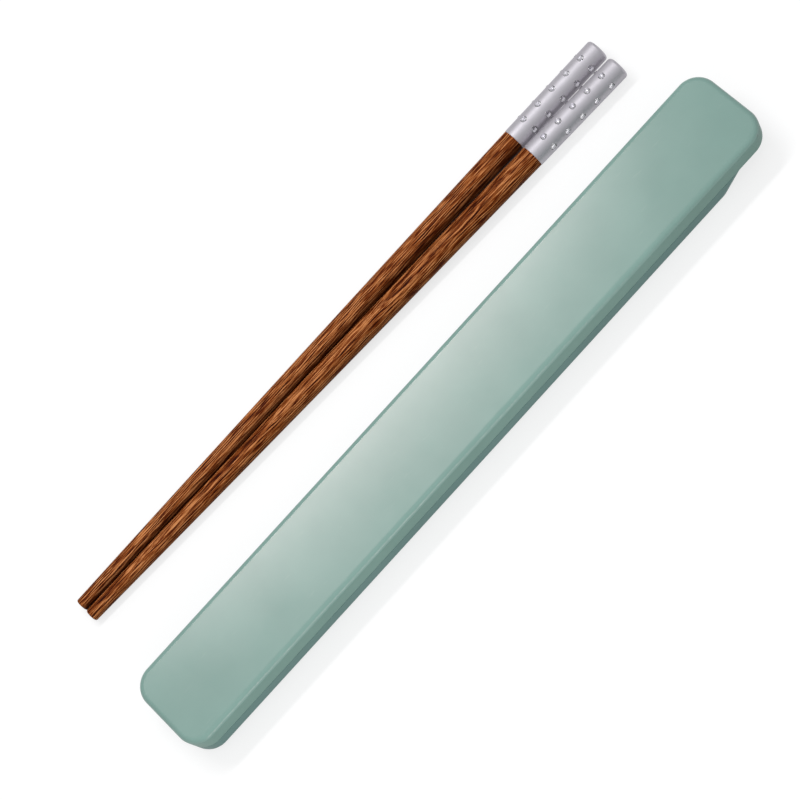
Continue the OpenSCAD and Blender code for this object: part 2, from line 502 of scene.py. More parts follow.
@dataclass(frozen=True)
class HandledSkin:
    """What satin plastic and satin metal share: a toothed skin with clouds, smudges and scuffs."""

    name: str
    colour: Triple
    roughness: float
    scales: SkinScales
    # The clouds' darkest and palest colour, as a factor, and an even lift of the palest
    deep: float
    pale: float
    pale_lift: float
    scuff_colour: Triple
    scuff_share: float
    # How much smoother a smudge is, and how far the tooth changes the roughness
    smudge_gloss: float
    tooth_swing: float

    def worn_colour(self, graph: Graph, effect: dict[str, NodeSocket]) -> NodeSocket:
        """Works out the clouded and scuffed colour.

        Args:
            graph: The material's graph.
            effect: Values of the shared effects.

        Returns:
            The colour's socket.
        """
        deep = scaled(self.colour, self.deep)
        pale = scaled(self.colour, self.pale, self.pale_lift)
        tone = graph.blend(graph.span(effect["Cloud"], NOISE_RANGE), deep, pale)
        return graph.blend(graph.math("MULTIPLY", effect["Scuff"], self.scuff_share), tone, self.scuff_colour)

    def worn_roughness(self, graph: Graph, effect: dict[str, NodeSocket]) -> NodeSocket:
        """Works out the roughness with its smudges and its tooth.

        Args:
            graph: The material's graph.
            effect: Values of the shared effects.

        Returns:
            The roughness's socket.
        """
        gloss = graph.span(effect["Smudge"], (0.0, 1.0), (self.roughness, self.roughness - self.smudge_gloss))
        tooth = graph.span(effect["Tooth"], NOISE_RANGE, (-self.tooth_swing, self.tooth_swing))
        return graph.math("ADD", gloss, tooth)


@dataclass(frozen=True)
class SatinPlastic(HandledSkin):
    """Moulded plastic with a satin skin."""

    roughness: float = 0.42
    scales: SkinScales = SkinScales(tooth=5200.0, cloud=42.0, smudge=70.0, scuff=900.0)
    deep: float = 0.955
    pale: float = 1.03
    pale_lift: float = 0.004
    scuff_colour: Triple = (0.8, 0.84, 0.82)
    scuff_share: float = 0.05
    smudge_gloss: float = 0.035
    tooth_swing: float = 0.02
    specular: float = 0.1
    gloss_tint: Triple = (1.0, 0.82, 0.82)
    ior: float = 1.45
    relief: float = 0.12
    relief_depth: float = 0.02 * MM

    def material(self, effects: SharedEffects) -> Material:
        """Builds the material.

        Args:
            effects: The shared node groups.

        Returns:
            The material.
        """
        material, graph = new_material(self.name)
        effect = effects.add_to(graph, self.scales)
        graph.surface(
            Base_Color=self.worn_colour(graph, effect),
            Roughness=self.worn_roughness(graph, effect),
            Normal=graph.bump(effect["Height"], self.relief, self.relief_depth),
            Specular_IOR_Level=self.specular,
            IOR=self.ior,
            Specular_Tint=self.gloss_tint,
        )
        return material


@dataclass(frozen=True)
class SatinMetal(HandledSkin):
    """Anodised metal, blasted to an even satin, with bright drilled seats."""

    roughness: float = 0.58
    scales: SkinScales = SkinScales(tooth=7000.0, cloud=160.0, smudge=150.0, scuff=1600.0)
    deep: float = 0.95
    pale: float = 1.0
    pale_lift: float = 0.0
    scuff_colour: Triple = (0.86, 0.86, 0.88)
    scuff_share: float = 0.2
    smudge_gloss: float = 0.06
    tooth_swing: float = 0.03
    edge_colour: Triple = (0.62, 0.61, 0.65)
    metallic: float = 0.8
    seat_colour: Triple = (0.97, 0.97, 0.98)
    # Roughness of a drilled seat, as a share of the skin's
    seat_roughness: float = 0.08
    relief: float = 0.15
    relief_depth: float = 0.015 * MM

    def material(self, effects: SharedEffects) -> Material:
        """Builds the material, which reads the piece's own polish attribute.

        Args:
            effects: The shared node groups.

        Returns:
            The material.
        """
        material, graph = new_material(self.name)
        effect = effects.add_to(graph, self.scales)
        seat = graph.attribute(Chopstick.POLISH, "Fac")
        polish = graph.span(seat, (0.0, 1.0), (1.0, self.seat_roughness))
        graph.surface(
            Base_Color=graph.blend(seat, self.worn_colour(graph, effect), self.seat_colour),
            Metallic=self.metallic,
            Roughness=graph.math("MULTIPLY", self.worn_roughness(graph, effect), polish),
            Normal=graph.bump(effect["Tooth"], self.relief, self.relief_depth),
            Specular_Tint=self.edge_colour,
        )
        return material


@dataclass(frozen=True)
class OiledWood:
    """Dark hardwood in thin pale and dark layers, which show as fine lines or as lens-shaped figures."""

    name: str
    roughness: float = 0.52
    specular: float = 0.05
    ior: float = 1.5
    layer: float = 0.66 * MM
    wander: float = 1.5 * MM
    # Features per metre along the stick, through the layers and along them
    wander_scale: Triple = (42.0, 210.0, 210.0)
    fibre_scale: Triple = (150.0, 4600.0, 4600.0)
    cloud_scale: Triple = (30.0, 420.0, 420.0)
    pore_scale: Triple = (230.0, 5200.0, 5200.0)
    # How much the layers, the fibres and the clouds count in the tone
    layer_share: float = 0.34
    fibre_share: float = 0.55
    cloud_share: float = 0.16
    # Where fibres and pores start and end in their noises, and the painted shade in its attribute
    fibre_range: Pair = (0.4, 0.6)
    pore_range: Pair = (0.58, 0.68)
    painted_shade_range: Pair = (0.3, 0.9)
    tones: tuple[tuple[float, Triple], ...] = (
        (0.16, srgb(44, 6, 0)),
        (0.36, srgb(86, 29, 1)),
        (0.52, srgb(124, 57, 14)),
        (0.67, srgb(162, 92, 43)),
        (0.86, srgb(212, 140, 86)),
    )
    pore_colour: Triple = srgb(40, 12, 2)
    pore_share: float = 0.3
    # Painted shade: one side of each stick is darkened, the far stick's side in the groove against the near
    # stick and the near stick's underside
    painted_shade_colour: Triple = srgb(38, 14, 3)
    painted_shade_share: float = 0.8
    # Dark wood is a little smoother than pale wood, and pores are rougher than both
    tone_range: Pair = (0.2, 0.8)
    tone_swing: Pair = (-0.05, 0.06)
    pore_swing: float = 0.12
    # How much the tone and the pores count in the height of the relief
    tone_height: float = 0.6
    pore_height: float = -0.4
    relief: float = 0.5
    relief_depth: float = 0.08 * MM

    def tone(self, graph: Graph, grain: NodeSocket) -> NodeSocket:
        """Works out how dark or pale the wood is.

        Args:
            graph: The material's graph.
            grain: The grain's coordinates, bent by the wandering of the layers.

        Returns:
            The tone's socket.
        """
        depth = graph.add("SeparateXYZ", Vector=grain).outputs["Y"]
        wave = graph.math("SINE", graph.math("MULTIPLY", depth, 2 * math.pi / self.layer))
        layers = graph.span(wave, (-1.0, 1.0))
        fibres = graph.span(graph.streaks(grain, self.fibre_scale, detail=1.0), self.fibre_range)
        clouds = graph.span(graph.streaks(grain, self.cloud_scale, detail=2.0), NOISE_RANGE)
        return graph.weigh((layers, self.layer_share), (fibres, self.fibre_share), (clouds, self.cloud_share))

    def material(self) -> Material:
        """Builds the material, which reads the piece's own grain and painted-shade attributes.

        Returns:
            The material.
        """
        material, graph = new_material(self.name)
        straight = graph.attribute(Chopstick.GRAIN, "Vector")
        slow = graph.streaks(straight, self.wander_scale, detail=2.0)
        drift = graph.math("MULTIPLY", graph.math("SUBTRACT", slow, 0.5), self.wander)
        lift = graph.add("CombineXYZ", Y=drift).outputs[0]
        grain = graph.add("VectorMath", {"operation": "ADD"}, in_0=straight, in_1=lift).outputs[0]
        tone = self.tone(graph, grain)
        pores = graph.span(graph.streaks(grain, self.pore_scale, detail=1.0), self.pore_range)
        pore_share = graph.math("MULTIPLY", pores, self.pore_share)
        open_grain = graph.blend(pore_share, graph.ramp(tone, self.tones), self.pore_colour)
        facing = graph.attribute(Chopstick.HEART, "Fac")
        heart = graph.span(facing, self.painted_shade_range, (0.0, self.painted_shade_share))
        dry = graph.span(tone, self.tone_range, tuple(self.roughness + swing for swing in self.tone_swing))
        height = graph.weigh((tone, self.tone_height), (pores, self.pore_height))
        graph.surface(
            Base_Color=graph.blend(heart, open_grain, self.painted_shade_colour),
            Roughness=graph.weigh((dry, 1.0), (pores, self.pore_swing)),
            Normal=graph.bump(height, self.relief, self.relief_depth),
            Specular_IOR_Level=self.specular,
            IOR=self.ior,
        )
        return material


@dataclass(frozen=True)
class CutGlass:
    """Clear cut glass with polished facets."""

    name: str
    colour: Triple = (1.0, 0.99, 1.0)
    cool_colour: Triple = (0.95, 0.9306, 0.99)
    ior: float = 1.56
    # Features per metre, coarse enough to differ from stone to stone, and fine enough to vary a facet
    stone_scale: float = 160.0
    facet_scale: float = 2600.0
    facet_range: Pair = (0.35, 0.75)
    polish: Pair = (0.005, 0.03)

    def material(self) -> Material:
        """Builds the material, whose tint and polish vary a little from stone to stone.

        Returns:
            The material.
        """
        material, graph = new_material(self.name)
        place = graph.add("TexCoord").outputs["Object"]
        stone = graph.noise(place, self.stone_scale, detail=0.0)
        facet = graph.noise(place, self.facet_scale, detail=1.0)
        graph.surface(
            Base_Color=graph.blend(stone, self.colour, self.cool_colour),
            Roughness=graph.span(facet, self.facet_range, self.polish),
            Transmission_Weight=1.0,
            IOR=self.ior,
        )
        return material


@dataclass(frozen=True)
class PaleFloor:
    """Plain white table top that keeps the object's shadow."""

    name: str
    shade: float
    glow: float

    def material(self) -> Material:
        """Builds the material: it looks white to the lens, to metal and to glass.

        Returns:
            The material.
        """
        material, graph = new_material(self.name)
        sight = graph.add("LightPath").outputs
        seen = graph.math("MAXIMUM", sight["Is Camera Ray"], sight["Is Glossy Ray"])
        seen = graph.math("MAXIMUM", seen, sight["Is Transmission Ray"])
        plain = graph.add("BsdfDiffuse", Color=(self.shade, self.shade, self.shade))
        light = graph.add("Emission", Strength=graph.math("MULTIPLY", seen, self.glow))
        both = graph.add("AddShader", in_0=plain.outputs[0], in_1=light.outputs[0])
        graph.add("OutputMaterial", Surface=both.outputs[0])
        return material


# Case


@dataclass(frozen=True)
class CaseSizes:
    """Sizes that the lid and the tray share, taken from the frame and a few walls and gaps."""

    corner_r: float = 7.3 * MM
    lid_wall: float = 1.0 * MM
    lid_fit: float = 0.15 * MM
    seat_gap: float = 0.15 * MM
    rim_wall: float = 0.85 * MM
    lip_round: float = 0.12 * MM
    corner_steps: int = 20
    lid_low: Vector = field(default_factory=lambda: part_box("lid")[0])
    lid_high: Vector = field(default_factory=lambda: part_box("lid")[1])
    tray_low: Vector = field(default_factory=lambda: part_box("tray")[0])
    tray_high: Vector = field(default_factory=lambda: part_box("tray")[1])

    @property
    def rim_inset(self) -> float:
        """Gives the distance from the case's outside to the outside of the rim."""
        return self.lid_wall + self.lid_fit

    @property
    def tray_wall(self) -> float:
        """Gives the thickness of the tray's wall below the rim."""
        return self.rim_inset + self.rim_wall

    @property
    def shoulder_z(self) -> float:
        """Gives the height of the tray's shoulder, just under the lid's skirt."""
        return self.lid_low.z - self.seat_gap

    @property
    def rim_z(self) -> float:
        """Gives the height of the top of the tray's rim."""
        return self.tray_high.z

    @property
    def roof_z(self) -> float:
        """Gives the height of the underside of the lid's top."""
        return self.rim_z + self.seat_gap

    @property
    def half_width(self) -> float:
        """Gives half the width of the case."""
        return self.lid_high.y

    @property
    def rim_start(self) -> float:
        """Gives the rim's outside at the square end."""
        return self.tray_low.x + self.rim_inset

    @property
    def rim_end(self) -> float:
        """Gives the rim's outside at the cut-back end."""
        return self.tray_high.x - self.rim_inset


@dataclass
class Lid:
    """The press-fit lid: a moulded cover with a round top edge and a deep skirt."""

    sizes: CaseSizes
    top_finish: SatinPlastic
    # The skirt's colour is a darker copy of the top's plastic: painted shade on the sides
    shaded_skirt_finish: SatinPlastic
    edge_round: float = 1.9 * MM
    edge_steps: int = 12
    lip_steps: int = 3
    rib: float = 1.0 * MM
    # The upward part of a normal below which a face counts as part of the skirt
    steep: float = 0.3

    def shell(self) -> BMesh:
        """Models the cover with its hollow underside.

        Returns:
            The mesh.
        """
        sizes = self.sizes
        low, high = sizes.lid_low, sizes.lid_high
        bm = plan_block(low, high, sizes.corner_r, sizes.corner_steps)
        bevel(bm, level_edges(bm, high.z), self.edge_round, self.edge_steps)
        bevel(bm, level_edges(bm, low.z), sizes.lip_round, self.lip_steps)
        under = level_faces(bm, low.z)
        flat = sizes.lid_wall - sizes.lip_round
        bmesh.ops.inset_region(bm, faces=under, thickness=flat, use_even_offset=True, use_boundary=True)
        push(bm, under[0], lambda co: Vector((co.x, co.y, sizes.roof_z)))
        return bm

    def add_rib(self, bm: BMesh) -> None:
        """Adds the cross rib that meets the end of the tray's rim.

        Args:
            bm: The cover's mesh.
        """
        sizes = self.sizes
        start = sizes.rim_end + sizes.lid_fit
        ends = (start, start + self.rib)
        inner = sizes.half_width - sizes.lid_wall
        for x in ends:
            inside = [f for f in bm.faces if self.is_inside(f, inner)]
            parts = {p for f in inside for p in (f, *f.edges, *f.verts)}
            bmesh.ops.bisect_plane(bm, geom=list(parts), plane_co=(x, 0, 0), plane_no=(1, 0, 0))
        inside = [f for f in bm.faces if self.is_inside(f, inner)]
        strip = [f for f in inside if ends[0] < f.calc_center_median().x < ends[1]]
        bmesh.ops.delete(bm, geom=strip, context="FACES_ONLY")
        low, high = sizes.lid_low.z, sizes.roof_z
        loops = [[(x, y, low) for y in (-inner, inner) for x in ends]]
        loops += [[(x, y, z) for z in (low, high) for y in (-inner, inner)] for x in ends]
        for loop in loops:
            corners = [self.nearest(bm, Vector(spot)) for spot in loop]
            bmesh.ops.contextual_create(bm, geom=corners)
        bmesh.ops.recalc_face_normals(bm, faces=bm.faces)

    def is_inside(self, face: BMFace, inner: float) -> bool:
        """Tells whether a face belongs to the underside of the top or to a long inner wall.

        Args:
            face: The face.
            inner: Distance of the inner walls from the middle.

        Returns:
            True if it does.
        """
        roof = all(abs(v.co.z - self.sizes.roof_z) < NEAR_ENOUGH for v in face.verts)
        wall = all(abs(abs(v.co.y) - inner) < NEAR_ENOUGH for v in face.verts)
        return roof or wall

    @staticmethod
    def nearest(bm: BMesh, spot: Vector) -> BMVert:
        """Finds the corner of a mesh that is closest to a place."""
        return min(bm.verts, key=lambda v: (v.co - spot).length)

    def build(self, effects: SharedEffects) -> None:
        """Builds and dresses the lid.

        Args:
            effects: The shared node groups.
        """
        bm = self.shell()
        self.add_rib(bm)
        bm.normal_update()
        edge_z = self.sizes.lid_high.z - self.edge_round
        # Faces that don't face up take the darker copy of the plastic, as painted shade
        paint(bm.faces, Coat.SECOND)
        paint(
            (f for f in bm.faces if f.normal.z > self.steep and f.calc_center_median().z > edge_z),
            Coat.FIRST,
        )
        coats = [finish.material(effects) for finish in (self.top_finish, self.shaded_skirt_finish)]
        seat_piece(make_piece(bm, "lid_cover", Shading.MOULDED), coats, "lid", "lid")


@dataclass
class Tray:
    """The tray: a moulded trough with a rim inside its shoulder, a cut-back end and three cradle ribs."""

    sizes: CaseSizes
    # The outside's colour is a darker copy of the plastic: painted shade on the outer walls
    shaded_outer_finish: SatinPlastic
    inner_finish: SatinPlastic
    floor: float = 1.5 * MM
    foot_round: float = 2.5 * MM
    foot_steps: int = 8
    inner_round: float = 1.2 * MM
    inner_steps: int = 5
    lip_steps: int = 2
    # Angle of the cut-back end from level, in degrees
    slope: float = 35.0
    slope_steps: int = 12
    cradle_count: int = 3
    cradle_rib: float = 1.6 * MM
    cradle_inset: float = 28.0 * MM
    cradle_lift: float = 0.9 * MM
    cradle_fit: float = 0.4 * MM
    cradle_sink: float = 0.25 * MM
    cradle_steps: int = 20
    end_play: float = 0.3 * MM

    @property
    def slope_foot(self) -> float:
        """Gives where the cut-back end meets the underside."""
        return self.sizes.tray_high.x - self.sizes.shoulder_z / math.tan(math.radians(self.slope))

    def cut_end(self, bm: BMesh, inset: float) -> None:
        """Cuts a block back at a slope, with round corners on both sides.

        Args:
            bm: The block's mesh.
            inset: How far the sloping wall is moved in.
        """
        radius = self.sizes.corner_r
        tilt = math.radians(90 - self.slope)
        out = Vector((math.cos(tilt), 0, -math.sin(tilt)))
        foot = Vector((self.slope_foot, 0, 0))
        centre_y = self.sizes.half_width - inset - radius
        step = math.pi / 2 / self.slope_steps
        cuts = [(foot - out * inset, out)]
        for side in (-1, 1):
            centre = foot - out * (inset + radius) + Vector((0, side * centre_y, 0))
            for i in range(self.slope_steps):
                turn = (i + 0.5) * step
                away = out * math.cos(turn) + Vector((0, side * math.sin(turn), 0))
                cuts.append((centre + away * radius * math.cos(step / 2), away))
        for place, away in cuts:
            parts = bm.verts[:] + bm.edges[:] + bm.faces[:]
            made = bmesh.ops.bisect_plane(
                bm, geom=parts, dist=WELD, plane_co=place, plane_no=away, clear_outer=True
            )["geom_cut"]
            bmesh.ops.contextual_create(bm, geom=[p for p in made if isinstance(p, BMEdge)])

    def outside(self) -> BMesh:
        """Models the outside of the tray up to its shoulder, open at the top.

        Returns:
            The mesh.
        """
        sizes = self.sizes
        high = Vector((sizes.lid_high.x, sizes.half_width, sizes.shoulder_z))
        bm = plan_block(sizes.tray_low, high, sizes.corner_r, sizes.corner_steps)
        bevel(bm, level_edges(bm, 0.0), self.foot_round, self.foot_steps)
        self.cut_end(bm, 0.0)
        bevel(bm, level_edges(bm, sizes.shoulder_z), sizes.lip_round, self.lip_steps)
        drop_level(bm, sizes.shoulder_z)
        return bm

    def rim(self) -> BMesh:
        """Models the outside of the rim that stands up inside the lid, open at both ends.

        Returns:
            The mesh.
        """
        sizes = self.sizes
        half = sizes.half_width - sizes.rim_inset
        low = Vector((sizes.rim_start, -half, sizes.shoulder_z))
        high = Vector((sizes.rim_end, half, sizes.rim_z))
        bm = plan_block(low, high, sizes.corner_r - sizes.rim_inset, sizes.corner_steps)
        bevel(bm, level_edges(bm, sizes.rim_z), sizes.lip_round, self.lip_steps)
        drop_level(bm, sizes.rim_z)
        drop_level(bm, sizes.shoulder_z)
        paint(bm.faces, Coat.SECOND)
        return bm

    def inside(self) -> BMesh:
        """Models the trough's inner face, open at the top.

        Returns:
            The mesh, whose faces look into the trough.
        """
        sizes = self.sizes
        half = sizes.half_width - sizes.tray_wall
        low = Vector((sizes.rim_start + sizes.rim_wall, -half, self.floor))
        high = Vector((sizes.rim_end - sizes.rim_wall, half, sizes.rim_z))
        bm = plan_block(low, high, sizes.corner_r - sizes.tray_wall, sizes.corner_steps)
        bevel(bm, level_edges(bm, self.floor), self.inner_round, self.inner_steps)
        self.cut_end(bm, sizes.tray_wall)
        drop_level(bm, sizes.rim_z)
        bmesh.ops.reverse_faces(bm, faces=bm.faces)
        paint(bm.faces, Coat.SECOND)
        return bm

    def shell(self) -> BMesh:
        """Joins the outside, the rim and the inner face into one closed wall.

        Returns:
            The mesh.
        """
        bm = self.outside()
        for inner_part, height in ((self.rim(), self.sizes.shoulder_z), (self.inside(), self.sizes.rim_z)):
            join(bm, inner_part)
            close_level(bm, height)
            paint(level_faces(bm, height), Coat.SECOND)
        bmesh.ops.remove_doubles(bm, verts=bm.verts, dist=WELD)
        bmesh.ops.recalc_face_normals(bm, faces=bm.faces)
        return bm

    def cradles(self, stick: "StickSizes") -> BMesh:
        """Models the cross ribs with a half-round cradle for each chopstick.

        Args:
            stick: Sizes of the chopsticks that lie in the cradles.

        Returns:
            The mesh.
        """
        sizes = self.sizes
        inner = sizes.half_width - sizes.tray_wall
        start = sizes.rim_start + sizes.rim_wall + self.end_play
        tip = start + stick.length
        cap_z = self.floor + self.cradle_lift + stick.cap_r
        rise = math.tan(math.radians(self.slope))
        slope_z = (tip + self.end_play - self.slope_foot) * rise + sizes.tray_wall * math.hypot(1, rise)
        tip_z = stick.tip_r + max(slope_z, self.floor + self.cradle_lift)
        seat_y = stick.cap_r + (inner - 2 * stick.cap_r) / 3
        whole = bmesh.new()
        for i in range(self.cradle_count):
            share = i / (self.cradle_count - 1)
            x = start + self.cradle_inset + (stick.length - 2 * self.cradle_inset) * share
            top = cap_z + (tip_z - cap_z) * (x - start) / stick.length
            seat_r = stick.radius(tip - x) + self.cradle_fit
            join(whole, self.cradle(x, inner + self.cradle_sink, top, seat_y, seat_r))
        return whole

    def cradle(self, x: float, half: float, top: float, seat_y: float, seat_r: float) -> BMesh:
        """Models one cross rib.

        Args:
            x: Its middle along the case.
            half: Half its width.
            top: Height of its top and of the chopsticks' middle.
            seat_y: Distance of each cradle from the middle.
            seat_r: Radius of the cradles.

        Returns:
            The mesh.
        """
        bm = bmesh.new()
        start = x - self.cradle_rib / 2
        bottom = self.floor - self.cradle_sink
        outline = []
        for side in (-1, 1):
            first = bm.verts.new((start, side * seat_y - seat_r, top))
            middle = (start, side * seat_y, top)
            made = bmesh.ops.spin(
                bm, geom=[first], cent=middle, axis=(1, 0, 0), angle=math.pi, steps=self.cradle_steps
            )
            outline.append((first, made["geom_last"][0]))
        corners = ((-half, top), (-half, bottom), (half, bottom), (half, top))
        walls = [bm.verts.new((start, y, z)) for y, z in corners]
        bm.edges.new((walls[0], outline[0][0]))
        bm.edges.new((outline[0][1], outline[1][0]))
        bm.edges.new((outline[1][1], walls[3]))
        for pair in zip(walls, walls[1:]):
            bm.edges.new(pair)
        face = bmesh.ops.contextual_create(bm, geom=bm.edges[:])["faces"]
        made = bmesh.ops.extrude_face_region(bm, geom=face)["geom"]
        moved = [p for p in made if isinstance(p, BMVert)]
        bmesh.ops.translate(bm, vec=(self.cradle_rib, 0, 0), verts=moved)
        bmesh.ops.recalc_face_normals(bm, faces=bm.faces)
        return bm

    def build(self, effects: SharedEffects, stick: "StickSizes") -> None:
        """Builds and dresses the tray and its cradle ribs.

        Args:
            effects: The shared node groups.
            stick: Sizes of the chopsticks that lie in the cradles.
        """
        # The outer material is the plastic darkened as painted shade
        outer, inner = self.shaded_outer_finish.material(effects), self.inner_finish.material(effects)
        for name, bm, coats in (
            ("tray_trough", self.shell(), [outer, inner]),
            ("tray_cradle_ribs", self.cradles(stick), [inner]),
        ):
            seat_piece(make_piece(bm, name, Shading.MOULDED), coats, "tray", "tray")


# Chopsticks


@dataclass(frozen=True)
class StickSizes:
    """Sizes that both chopsticks share."""

    length: float = 235.0 * MM
    # A hair under the frame's, which keeps the round inside its box
    tip_r: float = 2.19 * MM
    swell: float = 0.2 * MM
    tip_round: float = 0.6 * MM
    tip_steps: int = 5
    taper_steps: int = 14
    cap_length: float = 38.3 * MM
    cap_r: float = 3.9 * MM
    cap_step: float = 0.1 * MM
    cap_wall: float = 1.35 * MM
    cap_end_wall: float = 2.5 * MM
    cap_round: float = 1.0 * MM
    cap_round_steps: int = 6
    cap_lip: float = 0.12 * MM
    tenon_fit: float = 0.05 * MM
    stone_r: float = 1.05 * MM
    stone_sides: int = 8
    stone_crown: float = 0.3 * MM
    stone_table_r: float = 0.66 * MM
    stone_facet: float = 0.14 * MM
    stone_back: float = 0.28 * MM
    stone_culet_r: float = 0.3 * MM
    stone_lift: float = 0.01 * MM
    stone_pitch: float = 6.4 * MM
    seat_depth: float = 0.7 * MM
    seat_fit: float = 0.05 * MM
    # Half the length along the cap of the patch that a seat is cut from
    seat_reach: float = 1.5 * MM
    stones: int = 5
    rows: int = 5

    @property
    def wood_length(self) -> float:
        """Gives the length of the wood that shows."""
        return self.length - self.cap_length

    @property
    def bore_r(self) -> float:
        """Gives the radius of a cap's bore."""
        return self.cap_r - self.cap_wall

    @property
    def bore_depth(self) -> float:
        """Gives the depth of a cap's bore."""
        return self.cap_length - self.cap_end_wall

    @property
    def seat_floor(self) -> float:
        """Gives the distance of a seat's floor from the middle of the cap."""
        return self.cap_r - self.seat_depth

    @property
    def girdle(self) -> float:
        """Gives the height of a stone's straight side, up to where the round cap falls away from it."""
        return math.sqrt(self.cap_r**2 - self.stone_r**2) - self.seat_floor

    @property
    def lie(self) -> float:
        """Gives the angle by which a chopstick rises to its tip when it lies on its cap and its swell."""
        stations = [self.station(i) for i in range(self.taper_steps)]
        return math.atan(min((self.cap_r - self.wood_r(s)) / (self.wood_length - s) for s in stations))

    def wood_r(self, distance: float) -> float:
        """Gives the radius of the wood.

        Args:
            distance: Distance from the tip.

        Returns:
            The radius.
        """
        share = distance / self.wood_length
        butt_r = self.cap_r - self.cap_step
        return self.tip_r + (butt_r - self.tip_r) * share + 4 * self.swell * share * (1 - share)

    def radius(self, distance: float) -> float:
        """Gives the radius of the whole chopstick at a distance from its tip."""
        return self.wood_r(distance) if distance < self.wood_length else self.cap_r

    def station(self, index: int) -> float:
        """Gives the distance from the tip of one step of the taper, from 0 at the tip's round."""
        return self.tip_round + (self.wood_length - self.tip_round) * index / self.taper_steps

    def stone_height(self, index: int) -> float:
        """Gives the distance from the tip of one stone of a row, from 0 next to the wood."""
        middle = self.wood_length + self.cap_length / 2
        return middle + (index - (self.stones - 1) / 2) * self.stone_pitch


@dataclass(frozen=True)
class PairLay:
    """Where the pair lies beside the case."""

    distance: float = 30.2 * MM
    shift: float = -3.8 * MM
    # Angles in degrees
    turn: float = -1.25
    spread: float = 1.06
    tip_gap: float = 0.3 * MM

    def matrix(self, stick: StickSizes, side: Side, case_half_width: float) -> Matrix:
        """Works out how a chopstick that stands on its tip is laid down.

        Args:
            stick: Sizes of the chopstick.
            side: Which of the two.
            case_half_width: Half the width of the case.

        Returns:
            The matrix.
        """
        lie = stick.lie
        tip_z = stick.cap_r * math.cos(lie) - stick.wood_length * math.sin(lie)
        middle = Matrix.Translation((self.shift, case_half_width + self.distance, 0))
        turned = Matrix.Rotation(math.radians(self.turn), 4, "Z")
        tip = Matrix.Translation((-stick.length / 2, side.value * (stick.tip_r + self.tip_gap / 2), tip_z))
        yaw = Matrix.Rotation(math.radians(side.value * self.spread / 2), 4, "Z")
        pitch = Matrix.Rotation(math.pi / 2 - lie, 4, "Y")
        return middle @ turned @ tip @ yaw @ pitch


